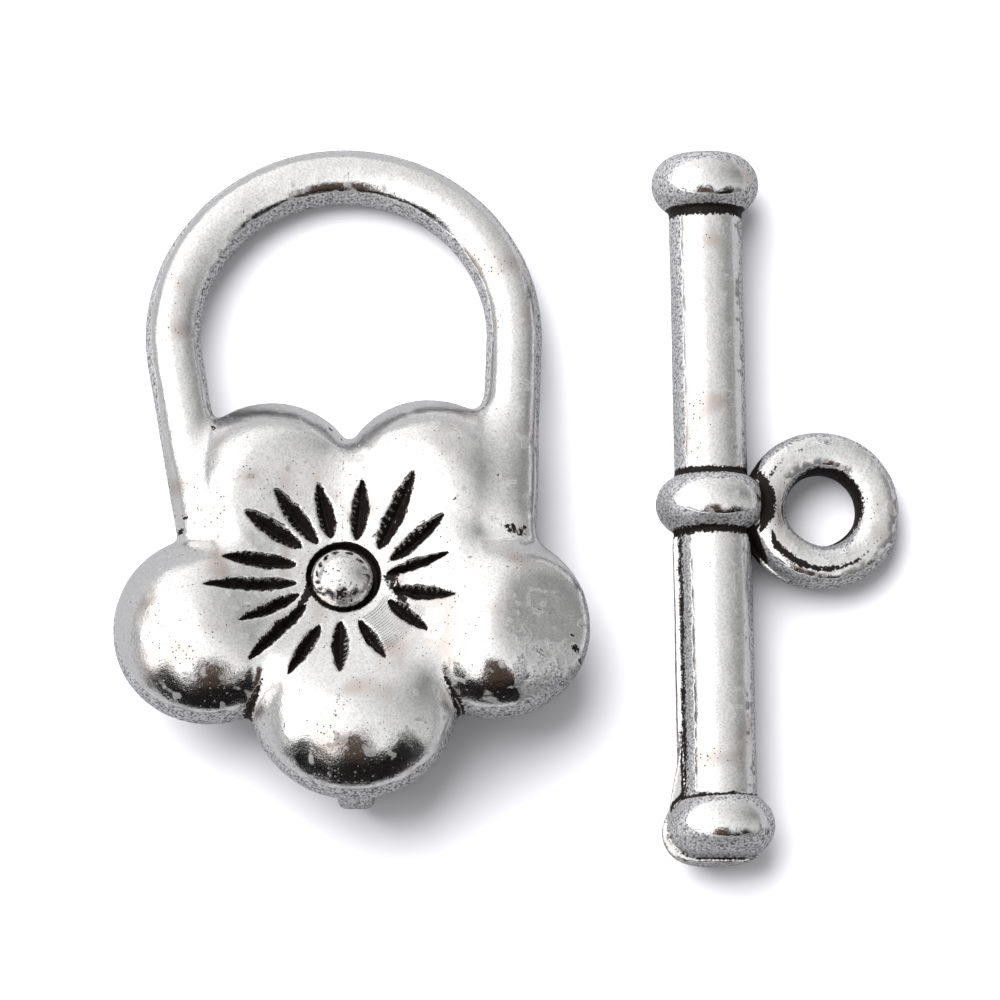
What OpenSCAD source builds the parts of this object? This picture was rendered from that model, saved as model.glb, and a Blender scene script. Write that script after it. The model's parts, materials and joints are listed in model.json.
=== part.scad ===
// Toggle clasp in two loose castings: a flower with a D-shaped loop, and a toggle bar with an eye.
// Both lie on the plane z = 0, seen from above, with the loop towards +Y and the bar on the +X side.
// All lengths are in millimetres and all angles in degrees.

/* [Flower] */
// Distance from the flower's middle to the centres of its petals, before each petal's own share
petal_reach = 3.7; // [3.4:0.05:4.1]
// Radius of the petals' skirts, before each petal's own share
petal_r = 2.58; // [2.3:0.02:2.8]
// Height of the petals' crests above the flat back
petal_h = 2.4; // [2:0.05:3]
// Height of the flat skirt that runs round the petals
skirt_h = 0.5; // [0.3:0.05:0.8]
// Width of the ledge between the skirt's edge and the domes
skirt_ledge = 0.12; // [0.06:0.02:0.4]
// Height of the straight wall between the skirt and the round shoulders of the domes
dome_wall = 0.2; // [0.1:0.05:0.4]
// Radius of the round shoulders of the domes
shoulder_r = 1.3; // [0.8:0.05:1.5]
// Depth of the dish in the middle, below the petals' crests
dish_depth = 1.15; // [0.8:0.05:1.3]
// Radius of the dish at the height of the crests
dish_r = 3.4; // [3:0.05:3.8]

/* [Flower centre] */
// Distance that the ball and the strokes stand to the left of the flower's middle
centre_shift = 0.27; // [0:0.01:0.4]
// Distance that the ball and the strokes stand below the flower's middle
centre_drop = 0.12; // [0:0.01:0.3]
// Diameter of the ball in the middle
ball_d = 1.76; // [1.4:0.02:2]
// Height of the ball's top above the bottom of the dish
ball_rise = 0.8; // [0.5:0.05:1]
// Width of the ring groove round the ball
ring_groove_w = 0.26; // [0.15:0.01:0.35]
// Depth of the ring groove below the bottom of the dish
ring_groove_depth = 0.3; // [0.15:0.05:0.45]
// Length from the centre to the tips of the engraved strokes, before each stroke's own share
stroke_reach = 3.4; // [3:0.05:3.6]
// Length from the centre to the roots of the engraved strokes, before each stroke's own share
stroke_root = 1.3; // [1.2:0.02:1.5]
// Distance that the tips of the strokes stand lower still
tip_drop = 0.18; // [0:0.01:0.3]
// Width of the engraved strokes, before each stroke's own share
stroke_w = 0.45; // [0.3:0.01:0.5]

/* [Loop] */
// Clear width inside the loop
loop_clear_w = 7.86; // [7:0.02:8.6]
// Clear height from the upper petals to the inside of the loop's top
loop_clear_h = 5.85; // [5:0.05:6.5]
// Thickness of the loop's rod
loop_rod_d = 1.52; // [1.3:0.02:1.8]
// Depth that the loop's rod is flattened at the back
loop_flat = 0.14; // [0.05:0.01:0.3]
// Height of the loop's flattened back above the flower's flat back
loop_step = 0.08; // [0.04:0.01:0.3]
// Lean of the loop's limbs towards the petals
limb_lean = 6.5; // [4:0.5:9]
// Distance that the loop stands to the left of the flower's middle
loop_shift = 0.11; // [0:0.01:0.3]

/* [Back shank] */
// Diameter of the hole in the ring behind the bottom petal
shank_hole_d = 1.8; // [1.5:0.05:2]
// Wall of the ring round its hole
shank_wall = 0.8; // [0.6:0.05:1]
// Thickness of the ring along its hole
shank_t = 1.0; // [0.8:0.05:1.4]
// Clearance between the hole and the flat back
shank_hole_gap = 0.1; // [0.05:0.01:0.3]
// Distance from the bottom petal's tip in to the ring's edge
shank_inset = 0.22; // [0:0.02:0.5]

/* [Toggle bar] */
// Length of the bar over both knobs
bar_len = 19.55; // [17:0.05:22]
// Diameter of the bar's rod
rod_d = 2.0; // [1.7:0.02:2.3]
// Diameter of the knobs at the ends
knob_d = 2.94; // [2.6:0.02:3.2]
// Length of each knob along the bar
knob_w = 1.68; // [1.2:0.02:1.8]
// Diameter of the collar at the middle
collar_d = 3.05; // [2.6:0.05:3.3]
// Length of the collar along the bar
collar_w = 1.6; // [1.3:0.05:1.8]

/* [Eye on the bar] */
// Diameter of the hole in the eye
eye_hole_d = 2.0; // [1.6:0.05:2.2]
// Width of the eye's ring from its hole to its edge
eye_ring_w = 1.17; // [0.9:0.01:1.4]
// Thickness of the eye along its hole
eye_t = 1.3; // [1:0.05:1.5]
// Depth that the eye is sunk into the collar
eye_sunk = 0.66; // [0.4:0.02:0.8]
// Distance that the eye stands below the collar's middle, along the bar
eye_drop = 0.15; // [0:0.01:0.3]

/* [How they lie] */
// Clear width between the widest petal and the bar's knobs
pieces_gap = 1.95; // [1:0.05:4]
// Distance from the end of the loop down to the end of the bar
bar_drop = 0.5; // [0:0.02:2]

/* [Hidden] */
$fn = 96;
alloy = [0.74, 0.74, 0.75];
overlap = 0.01;
hair = 0.02;

// One petal a row: direction, share of petal_reach, share of petal_r
petals = [
    [ 52, 0.95, 0.96],
    [128, 0.95, 0.96],
    [197, 1.11, 1.02],
    [270, 0.88, 1.10],
    [342, 1.11, 1.00]
];
upper_petal = petals[0];
side_petal = petals[4];
left_petal = petals[2];
bottom_petal = petals[3];
function petal_centre(p) = petal_reach * p[1] * [cos(p[0]), sin(p[0])];
function skirt_r(p) = petal_r * p[2];
function dome_r(p) = skirt_r(p) - skirt_ledge;

// One stroke a row: direction of its tip, share of stroke_reach, direction of its root,
// share of stroke_root, share of stroke_w
strokes = [
    [ 78, 0.89,  69, 0.92, 1.00],
    [ 56, 1.08,  40, 1.02, 1.10],
    [ 33, 1.00,  21, 1.10, 0.90],
    [ 15, 0.90,   6, 0.95, 0.65],
    [351, 0.93, 347, 1.10, 0.85],
    [328, 0.81, 333, 1.08, 0.80],
    [297, 0.76, 290, 1.00, 0.75],
    [268, 0.81, 268, 0.95, 0.95],
    [241, 0.91, 246, 1.15, 0.80],
    [221, 1.01, 217, 0.95, 0.80],
    [203, 0.91, 200, 0.95, 0.75],
    [183, 1.12, 185, 0.95, 0.85],
    [167, 0.99, 161, 1.00, 0.95],
    [142, 0.98, 139, 1.10, 1.00],
    [124, 0.95, 121, 0.95, 1.00],
    [102, 0.87, 102, 0.95, 1.00]
];
function polar(r, angle) = r * [cos(angle), sin(angle)];
function stroke_tip(s) = polar(stroke_reach * s[1], s[0]) - [0, tip_drop];
function stroke_foot(s) = polar(stroke_root * s[3], s[2]);
function stroke_half_w(s) = stroke_w * s[4] / 2;

// Outline of a stroke: shares of its length and of its half width
stroke_outline = [[0, 0], [0.15, 0.6], [0.4, 1], [0.7, 0.75], [1, 0]];

flower_right_x = petal_centre(side_petal)[0] + skirt_r(side_petal);
flower_tip_y = petal_centre(bottom_petal)[1] - skirt_r(bottom_petal);
flower_top_y = petal_centre(upper_petal)[1] + skirt_r(upper_petal);

// A dome rises from its wall by a round shoulder into a flatter crown. The crown is a little rounder than the one
// that the shoulder would run into smoothly, so that the two cross at a faint crease
crown_tightness = 0.95;
shoulder_z = skirt_h + dome_wall;
edge_r = min(shoulder_r, 0.85 * (petal_h - shoulder_z));
crown_drop = petal_h - shoulder_z;
function smooth_crown_r(foot_r) =
    (pow(foot_r - edge_r, 2) + pow(crown_drop, 2) - pow(edge_r, 2)) / (2 * (crown_drop - edge_r));
function crown_r(foot_r) = crown_tightness * smooth_crown_r(foot_r);

// The cap that fills the flower's middle under the dish reaches most of the way to the petals' centres
core_r = 0.9 * petal_reach;

// The dish is part of a sphere
dish_z = petal_h - dish_depth;
dish_sphere_r = (pow(dish_r, 2) + pow(dish_depth, 2)) / (2 * dish_depth);
function dish_surface(r) = dish_z + dish_sphere_r - sqrt(pow(dish_sphere_r, 2) - pow(r, 2));

// Loop
loop_rod_r = loop_rod_d / 2;
loop_arc_r = (loop_clear_w + loop_rod_d) / 2;
loop_arc_y = flower_top_y + loop_clear_h - loop_clear_w / 2;
loop_rod_z = loop_rod_r - loop_flat;
loop_flat_half = sqrt(pow(loop_rod_r, 2) - pow(loop_rod_z, 2));
loop_axis_z = loop_step + loop_rod_z;
loop_heel_y = loop_arc_y + loop_arc_r + loop_flat_half;
limb_top = [loop_arc_r * cos(limb_lean), loop_arc_y - loop_arc_r * sin(limb_lean)];

// Each limb ends where the upper and the side petals meet
limb_end_y = petal_centre(side_petal)[1] + skirt_r(side_petal) + 0.2 * skirt_r(side_petal);
limb_len = (limb_top[1] - limb_end_y) / cos(limb_lean);

// The limbs are a hair slimmer than the arc that they run into, and their round ends are a hair slimmer still
limb_root = 0.2 * loop_rod_r;
limb_r = loop_rod_r - hair;
limb_end_r = limb_r - hair;

// Shank ring, upright behind the bottom petal, with its hole along X
shank_hole_r = shank_hole_d / 2;
shank_r = shank_hole_r + shank_wall;
shank_y = flower_tip_y + shank_inset + shank_r;
shank_z = -(shank_hole_r + shank_hole_gap);

// The flower leans on the heel of its loop and on the shank
heel_to_shank = [loop_heel_y - shank_y, loop_step - shank_z];
flower_lean = atan2(heel_to_shank[1], heel_to_shank[0]) + asin(shank_r / norm(heel_to_shank));
flower_lift = loop_heel_y * sin(flower_lean) - loop_step * cos(flower_lean);

// Bar
rod_r = rod_d / 2;
knob_r = knob_d / 2;
collar_r = collar_d / 2;
eye_hole_r = eye_hole_d / 2;
eye_r = eye_hole_r + eye_ring_w;
eye_x = collar_r + eye_r - eye_sunk;

// The eye's ring has a section cut from a circle, with a flat top and bottom and a straight wall in the hole
eye_mid_r = (eye_hole_r + eye_r) / 2;
eye_section_r = 1.4 * eye_ring_w / 2;
eye_flat_half = sqrt(pow(eye_section_r, 2) - pow(eye_t / 2, 2));
eye_land_half = sqrt(pow(eye_section_r, 2) - pow(eye_ring_w / 2, 2));

// The bar rolls about its own axis until the lower edge of the eye touches the ground
bar_rest_r = max(knob_r, collar_r);
eye_edge = [eye_x + eye_mid_r + eye_flat_half, eye_t / 2];
bar_roll = asin(bar_rest_r / norm(eye_edge)) - atan2(eye_edge[1], eye_edge[0]);

// Places in the plan, with the flower's middle at [0, 0]
loop_end_y = (loop_arc_y + loop_arc_r) * cos(flower_lean) + loop_axis_z * sin(flower_lean) + loop_rod_r;
bar_x = flower_right_x + pieces_gap + knob_r;
bar_end_y = loop_end_y - bar_drop;
right_x = bar_x + (eye_x + eye_r) * cos(bar_roll) + eye_land_half * sin(bar_roll);
left_x = petal_centre(left_petal)[0] - skirt_r(left_petal);
low_y = min(bar_end_y - bar_len, flower_tip_y);
middle = [(left_x + right_x) / 2, (loop_end_y + low_y) / 2];

// A dome with this radius at its foot, on a flat skirt with this radius
module dome_on_skirt(disc_r, foot_r) {
    shoulder = [foot_r - edge_r, shoulder_z];
    crown = [0, petal_h - crown_r(foot_r)];
    past_crown = shoulder + crown_r(foot_r) * (shoulder - crown) / norm(shoulder - crown);
    rotate_extrude() {
        square([disc_r, skirt_h]);
        square([foot_r, shoulder_z]);
        intersection() {
            translate(crown) circle(r = crown_r(foot_r));
            polygon([[0, 0], [0, petal_h], past_crown, shoulder]);
        }
        intersection() {
            translate(shoulder) circle(r = edge_r);
            square([disc_r, petal_h]);
        }
    }
}

module flower_body() {
    dome_on_skirt(core_r + skirt_ledge, core_r);
    for (p = petals) translate(petal_centre(p)) dome_on_skirt(skirt_r(p), dome_r(p));
}

module dish() {
    translate([0, 0, dish_z + dish_sphere_r]) sphere(r = dish_sphere_r);
}

// One engraved stroke: a slim spindle sunk to its own axis in the surface of the dish
module stroke(s) {
    tip = [each stroke_tip(s), dish_surface(norm(stroke_tip(s)))];
    foot = [each stroke_foot(s), dish_surface(norm(stroke_foot(s)))];
    run = tip - foot;
    translate(foot)
        rotate([0, acos(run[2] / norm(run)), atan2(run[1], run[0])])
            rotate_extrude()
                polygon([for (o = stroke_outline) [o[1] * stroke_half_w(s), o[0] * norm(run)]]);
}

module ring_groove() {
    translate([0, 0, dish_z - ring_groove_depth])
        difference() {
            cylinder(r = ball_d / 2 + ring_groove_w, h = petal_h);
            translate([0, 0, -overlap])
                cylinder(r = ball_d / 2 - ring_groove_w / 2, h = petal_h + 2 * overlap);
        }
}

module centre_ball() {
    translate([0, 0, dish_z + ball_rise - ball_d / 2]) sphere(r = ball_d / 2);
}

module flower() {
    difference() {
        flower_body();
        dish();
        translate([-centre_shift, -centre_drop, 0]) {
            ring_groove();
            for (s = strokes) stroke(s);
        }
    }
    translate([-centre_shift, -centre_drop, 0]) centre_ball();
}

// Section of the loop's rod with this radius, above its flattened back and from this far on the left of its axis
module rod_section(r, left) {
    intersection() {
        translate([0, loop_axis_z]) circle(r = r);
        translate([-left, loop_axis_z - r + loop_flat]) square([left + r, 2 * r]);
    }
}

module limb() {
    translate(limb_top)
        rotate([90, 0, -limb_lean]) {
            translate([0, 0, -limb_root]) linear_extrude(height = limb_root + limb_len) rod_section(limb_r, limb_r);
            translate([0, 0, limb_len]) rotate([-90, 0, 0]) rotate_extrude() rod_section(limb_end_r, 0);
        }
}

module loop() {
    translate([-loop_shift, 0, 0]) {
        translate([0, loop_arc_y, 0])
            rotate([0, 0, -limb_lean])
                rotate_extrude(angle = 180 + 2 * limb_lean)
                    translate([loop_arc_r, 0]) rod_section(loop_rod_r, loop_rod_r);
        limb();
        mirror([1, 0, 0]) limb();
    }
}

module shank() {
    translate([0, shank_y, shank_z])
        rotate([0, 90, 0])
            difference() {
                cylinder(r = shank_r, h = shank_t, center = true);
                cylinder(r = shank_hole_r, h = shank_t + 2 * overlap, center = true);
            }
}

module flower_loop() {
    color(alloy)
        translate([-middle[0], -middle[1], flower_lift])
            rotate([-flower_lean, 0, 0]) {
                flower();
                loop();
                shank();
            }
}

// A round bead on the bar's axis, with flat faces and a half-round edge
module bead(r, w) {
    rotate_extrude() {
        translate([0, -w / 2]) square([r - w / 2, w]);
        intersection() {
            translate([r - w / 2, 0]) circle(r = w / 2);
            translate([0, -w]) square([r + w, 2 * w]);
        }
    }
}

module eye() {
    translate([eye_x, -eye_drop, 0])
        rotate_extrude()
            intersection() {
                translate([eye_mid_r, 0]) circle(r = eye_section_r);
                translate([eye_hole_r, -eye_t / 2]) square([eye_ring_w, eye_t]);
            }
}

// Everything inside the eye's hole, so that the collar doesn't reach into it
module eye_hole() {
    translate([eye_x, -eye_drop, 0]) cylinder(r = eye_hole_r, h = 2 * eye_t, center = true);
}

module toggle_bar() {
    knob_y = (bar_len - knob_w) / 2;
    color(alloy)
        translate([bar_x - middle[0], bar_end_y - bar_len / 2 - middle[1], bar_rest_r])
            rotate([0, bar_roll, 0]) {
                rotate([90, 0, 0]) {
                    cylinder(r = rod_r, h = bar_len - knob_w, center = true);
                    for (side = [-1, 1])
                        translate([0, 0, side * knob_y]) bead(knob_r, knob_w);
                }
                difference() {
                    rotate([90, 0, 0]) bead(collar_r, collar_w);
                    eye_hole();
                }
                eye();
            }
}

flower_loop();
toggle_bar();
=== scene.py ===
# Looks of the toggle clasp: each casting is sculpted as one smooth solid field, in millimetres and in the
# casting's own frame, skinned with a mesh, and finished as antique silver with black in its recesses.
import json
import math
from itertools import product

import bpy
import numpy as np
from mathutils import Matrix, Vector


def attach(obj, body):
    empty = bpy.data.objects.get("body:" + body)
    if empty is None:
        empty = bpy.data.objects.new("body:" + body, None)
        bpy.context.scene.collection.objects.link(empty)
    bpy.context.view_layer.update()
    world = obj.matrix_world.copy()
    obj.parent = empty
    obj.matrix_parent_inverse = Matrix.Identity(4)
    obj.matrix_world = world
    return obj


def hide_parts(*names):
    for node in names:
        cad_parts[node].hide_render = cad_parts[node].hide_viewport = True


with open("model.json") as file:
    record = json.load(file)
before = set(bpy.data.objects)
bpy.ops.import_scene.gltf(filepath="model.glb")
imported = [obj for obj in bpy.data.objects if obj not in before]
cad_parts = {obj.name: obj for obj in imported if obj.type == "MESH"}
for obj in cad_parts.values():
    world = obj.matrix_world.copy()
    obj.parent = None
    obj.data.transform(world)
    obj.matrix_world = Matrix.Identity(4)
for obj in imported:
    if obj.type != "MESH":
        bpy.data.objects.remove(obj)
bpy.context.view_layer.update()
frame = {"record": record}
MM = 0.001

# Flower, in its own frame: the flat back is z = 0, the loop is towards +Y and [0, 0] is the flower's middle
PETAL_REACH = 3.7
PETAL_R = 2.58
PETAL_H = 2.4
DOME_R = 2.92
SHOULDER_BLEND = 0.16
# The creases between the petals are sharp at the outline and fade towards the middle
CREASE_BLEND = 0.35
INNER_CREASE_BLEND = 1.1
CREASE_SHARP_FROM = 3.0
CREASE_SHARP_AT = 4.4
CREASE_W = 0.24
CREASE_TOP = 1.5
CREASE_REACH = 0.6
CORE_SHARE = 0.9
DISH_DEPTH = 1.15
DISH_R = 3.4
DISH_BLEND = 0.85
BACK_BLEND = 0.25
# Direction, share of the reach, share of the radius
PETALS = [(52, 0.95, 0.96), (128, 0.95, 0.96), (197, 1.11, 1.02), (270, 0.88, 1.1), (342, 1.11, 1.0)]

# The right petal is a little flattened towards its outer side, from this place on
FACET_START = (4.05, -1.3)
FACET = (0.53, -0.1, 0.842)
FACET_BLEND = 0.22

# A shallow hollow with a crisp edge in the upper left petal
HOLLOW = (-1.45, 2.1)
HOLLOW_R = 1.8
HOLLOW_DEPTH = 0.17

# Ball, ring groove and engraved strokes, round a centre that stands a little to the lower left
CENTRE = (-0.27, -0.12)
BALL_R = 0.88
BALL_RISE = 0.8
BALL_BLEND = 0.05
GROOVE_W = 0.24
GROOVE_DEPTH = 0.3
# The groove is deepest on this side of the ball
GROOVE_SIDE = math.radians(55)
GROOVE_EVEN = 0.57
STROKE_REACH = 3.4
STROKE_ROOT = 1.3
STROKE_W = 0.51
STROKE_DEPTH = 0.36
TIP_DROP = 0.18
# A stroke is widest nearer its root, and full rather than pointed
LEAF_LEAN = 0.85
LEAF_FULLNESS = 0.65
COMB_DEPTH = 0.3
COMB_TURN = 40
RAGGED = 0.035
RAGGED_SIZE = 0.13
# Direction of the tip, share of the reach, direction of the root, share of the root, share of the width
STROKES = [
    (78, 0.89, 69, 0.92, 1.0), (56, 1.08, 40, 1.02, 1.1), (33, 1.0, 21, 1.1, 0.9), (15, 0.9, 6, 0.95, 0.65),
    (351, 0.93, 347, 1.1, 0.85), (328, 0.81, 333, 1.08, 0.8), (297, 0.76, 290, 1.0, 0.75),
    (268, 0.81, 268, 0.95, 0.95), (241, 0.91, 246, 1.15, 0.8), (221, 1.01, 217, 0.95, 0.8),
    (203, 0.91, 200, 0.95, 0.75), (183, 1.12, 185, 0.95, 0.85), (167, 0.99, 161, 1.0, 0.95),
    (142, 0.98, 139, 1.1, 1.0), (124, 0.95, 121, 0.95, 1.0), (102, 0.87, 102, 0.95, 1.0),
]

# Depths are cut into what stands above this height, from a table that reaches this far from the middle
ENGRAVED_ABOVE = 0.7
TABLE_REACH = 4.7
TABLE_STEP = 0.01

# Casting pits above a height: place in the plan and size
PITS_ABOVE = 0.4
PITS = [
    (6.08, -2.15, 0.13), (6.0, -1.8, 0.09), (6.2, -2.4, 0.07), (-4.53, 1.79, 0.08), (-4.66, 1.45, 0.1),
    (-3.73, 4.36, 0.1), (4.42, 1.22, 0.16), (4.62, 1.14, 0.14), (4.24, 1.28, 0.09), (4.75, 1.3, 0.09),
    (-0.5, 4.25, 0.07), (-0.2, 4.0, 0.06),
]

# Loop and the hidden shank ring
LOOP_CLEAR_W = 7.86
LOOP_CLEAR_H = 5.85
LOOP_ROD_R = 0.76
LOOP_FLAT = 0.14
LOOP_STEP = 0.08
# Each limb's side and its lean towards the petals
LIMBS = [(-1, math.radians(8.5)), (1, math.radians(3))]
LOOP_SHIFT = 0.11
LOOP_BLEND = 0.4
RIGHT_LOOP_BLEND = 0.9
RIGHT_LOOP_FROM = 2.5
RIGHT_LOOP_AT = 4.5
SHANK_HOLE_R = 0.9
SHANK_WALL = 0.8
SHANK_T = 1.0
SHANK_INSET = 0.22
SHANK_GAP = 0.1
SHANK_BLEND = 0.25
SHANK_EDGE = 0.3
SHANK_HOLE_EDGE = 0.12
SHANK_TOP = 0.2

# Toggle bar, in its own frame: its axis is y and the eye lies towards +X
BAR_LEN = 19.55
ROD_R = 1.0
KNOB_R = 1.47
KNOB_W = 1.68
COLLAR_R = 1.525
COLLAR_W = 1.6
EYE_HOLE_R = 1.0
EYE_RING_W = 1.17
EYE_T = 1.3
EYE_SUNK = 0.66
EYE_DROP = 0.15
JOINT_BLEND = 0.1
EYE_POWER = 2.5
EYE_HOLE_EDGE = 0.1
# The lower mould half is out of place below the collar, sideways and, at the bar's lower end, along the bar
MOULD_SIDE = 0.17
MOULD_END = 0.2
UPPER_SHARE = 0.45
FLASH_T = 0.07
FLASH_W = 0.4
FLASH_MIDDLE = -7.8
FLASH_HALF = 1.4
FLASH_BLEND = 0.06
# Bands of black on the rod beside the knobs and the collar: place along the bar, half width
GRIME = [(8.1, 0.17), (-8.22, 0.09), (0.82, 0.13), (-0.82, 0.13)]
GRIME_OUT = 0.12
# Black in the eye's hole, on its lower left rim, in its joint with the collar and along the mould step
DIRTY_HOLE_TURN = math.radians(50)
DIRTY_HOLE_W = 0.08
DIRTY_HOLE_SWING = 0.1
DIRTY_RIM_TURN = math.radians(225)
DIRTY_RIM_R = 1.72
DIRTY_RIM_W = 0.11
DIRTY_JOINT_W = 0.3
DIRTY_JOINT_R = 1.32
SEAM_R = 0.07

# Polish: how upright a surface's normal is where the polish ends, and how far it fades
PETAL_POLISH = 0.42
LOOP_POLISH = 0.68
FLOWER_FADE = 0.14
BAR_POLISH = 0.67
BAR_FADE = 0.12
BAR_END_LOSS = 0.3
BACK_SKIN = 0.8
SATIN = 0.58
EYE_SATIN = 0.3

# A painted dark reflection low on the ball, and a stain along the hollow's upper left edge
BALL_REFLECTION_DROP = 0.58
BALL_REFLECTION_R = 0.34
BALL_REFLECTION = 0.5
HOLLOW_STAIN = 0.36

# Waves of the cast surface, each with its size, height and seed, and the height of the mottling
LUMP_SIZE = 0.9
MOTTLE_SIZE = 0.24
FLOWER_WAVES = [(1.3, 0.012, 3), (0.4, 0.005, 4)]
FLOWER_MOTTLE = 0.004
FLOWER_SEED = 20
BAR_WAVES = [(1.5, 0.01, 5), (0.4, 0.004, 6)]
BAR_MOTTLE = 0.005
BAR_SEED = 30

# Grids: their boxes, the finer stretches that hold the engraving, and their steps
FLOWER_BOX = [(-6.8, 6.8), (-6.5, 13.1), (-3.0, 2.7)]
ENGRAVED_BOX = [(-4.2, 3.1), (-3.15, 3.15), (0.9, 2.5)]
BAR_BOX = [(-1.9, 5.5), (-10.3, 10.1), (-1.8, 1.8)]
COARSE_STEP = 0.122
FINE_STEP = 0.055
LAYER_STEP = 0.06
BAR_STEP = 0.062

# How the fields are sampled
COARSE_EVERY = 4
NEAR_SURFACE = 0.36
NEWTON_STEPS = 4
NEWTON_REACH = 0.05
DIFFERENCE = 0.008

# Values that stand for outside of every cut, and for far from every stroke
OUTSIDE = -1.0
FAR = 9.0


def smooth_min(a, b, blend):
    overlap = np.maximum(blend - np.abs(a - b), 0) / blend
    return np.minimum(a, b) - overlap ** 2 * blend / 4


def smooth_max(a, b, blend):
    return -smooth_min(-a, -b, blend)


def smooth_step(low, high, value):
    share = np.clip((value - low) / (high - low), 0, 1)
    return share * share * (3 - 2 * share)


def polar(radius, degrees):
    angle = math.radians(degrees)
    return radius * math.cos(angle), radius * math.sin(angle)


def oval(across, along, half_across, half_along, power):
    """Rough distance to a section that lies between an ellipse and a rectangle."""
    u = np.abs(across) / half_across
    v = np.abs(along) / half_along
    size = np.maximum((u ** power + v ** power) ** (1 / power), 0.05)
    slope_u = (u / size) ** (power - 1) / half_across
    slope_v = (v / size) ** (power - 1) / half_along
    return (size - 1) / np.maximum(np.hypot(slope_u, slope_v), 0.05)


def capsule(x, y, z, start, end, radius):
    """Distance to a round rod between two points in the plan, both at the height z = 0."""
    run = np.subtract(end, start)
    share = np.clip(((x - start[0]) * run[0] + (y - start[1]) * run[1]) / (run @ run), 0, 1)
    flat = np.hypot(x - start[0] - share * run[0], y - start[1] - share * run[1])
    return np.hypot(flat, z) - radius


def noise(points, size, seed):
    """Smooth noise from -1 to 1 whose lumps have this size."""
    cells = 48
    table = np.random.default_rng(seed).uniform(-1, 1, (cells, cells, cells))
    base = np.floor(points / size).astype(int)
    part = points / size - base
    part = part * part * (3 - 2 * part)
    total = np.zeros(len(points))
    for corner in product((0, 1), repeat=3):
        weight = np.prod(np.where(corner, part, 1 - part), axis=1)
        place = (base + corner) % cells
        total += weight * table[tuple(place.T)]
    return total


# Flower and loop

FLOWER_TOP = PETAL_REACH * PETALS[0][1] * math.sin(math.radians(PETALS[0][0])) + PETAL_R * PETALS[0][2]
FLOWER_TIP = -PETAL_REACH * PETALS[3][1] - PETAL_R * PETALS[3][2]
LOOP_ARC_R = LOOP_CLEAR_W / 2 + LOOP_ROD_R
LOOP_ARC_Y = FLOWER_TOP + LOOP_CLEAR_H - LOOP_CLEAR_W / 2
LOOP_AXIS_Z = LOOP_STEP + LOOP_ROD_R - LOOP_FLAT
LIMB_END_Y = polar(PETAL_REACH * PETALS[4][1], PETALS[4][0])[1] + 1.2 * PETAL_R * PETALS[4][2]
DISH_Z = PETAL_H - DISH_DEPTH
DISH_SPHERE_R = (DISH_R ** 2 + DISH_DEPTH ** 2) / (2 * DISH_DEPTH)
BALL_Z = DISH_Z + BALL_RISE - BALL_R
SHANK_R = SHANK_HOLE_R + SHANK_WALL
SHANK_Y = FLOWER_TIP + SHANK_INSET + SHANK_R
SHANK_Z = -(SHANK_HOLE_R + SHANK_GAP)


def dome(x, y, z, centre, radius):
    """A round cap with a steep wall at this radius."""
    out = np.hypot(x - centre[0], y - centre[1])
    cap_r = DOME_R * radius / PETAL_R
    cap = np.hypot(out, z - (PETAL_H - cap_r)) - cap_r
    return smooth_max(cap, out - radius, SHOULDER_BLEND)


def facet(x, y, z):
    return (x - FACET_START[0]) * FACET[0] + (y - FACET_START[1]) * FACET[1] + (z - PETAL_H) * FACET[2]


def petals(x, y, z):
    body = dome(x, y, z, (0, 0), CORE_SHARE * PETAL_REACH)
    outer = smooth_step(CREASE_SHARP_FROM, CREASE_SHARP_AT, np.hypot(x, y))
    blend = INNER_CREASE_BLEND + (CREASE_BLEND - INNER_CREASE_BLEND) * outer
    for centre, radius in petal_discs():
        petal = dome(x, y, z, centre, radius)
        if centre[0] > PETAL_REACH:
            petal = smooth_max(petal, facet(x, y, z), FACET_BLEND)
        body = smooth_min(body, petal, blend)
    hollow = DISH_SPHERE_R - np.sqrt(x ** 2 + y ** 2 + (z - DISH_Z - DISH_SPHERE_R) ** 2)
    return smooth_max(body, hollow, DISH_BLEND)


def creases(x, y, z):
    """How far inside the dark corner between two lower petals a point lies, at the flower's outline."""
    gaps = [np.hypot(x - c[0], y - c[1]) - r for c, r in petal_discs()]
    near, second = np.sort(gaps, axis=0)[:2]
    corner = CREASE_W / 2 - (second - near) / 2
    taper = CREASE_W / 2 * (1 - smooth_step(0, 1, -near / CREASE_REACH))
    return np.where((y < 0) & (z < CREASE_TOP), corner - CREASE_W / 2 + taper, OUTSIDE)


def petal_discs():
    return [(polar(PETAL_REACH * reach, direction), PETAL_R * size) for direction, reach, size in PETALS]


def loop(x, y, z):
    x = x + LOOP_SHIFT
    turn = np.arctan2(y - LOOP_ARC_Y, np.abs(x))
    rod = np.hypot(np.hypot(x, y - LOOP_ARC_Y) - LOOP_ARC_R, z - LOOP_AXIS_Z) - LOOP_ROD_R
    for side, lean in LIMBS:
        top = (LOOP_ARC_R * math.cos(lean), LOOP_ARC_Y - LOOP_ARC_R * math.sin(lean))
        end = (top[0] - (top[1] - LIMB_END_Y) * math.tan(lean), LIMB_END_Y)
        limb = capsule(side * x, y, z - LOOP_AXIS_Z, top, end, LOOP_ROD_R)
        rod = np.where((side * x > 0) & (turn < -lean), limb, rod)
    return smooth_max(rod, LOOP_STEP - z, BACK_BLEND)


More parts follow.
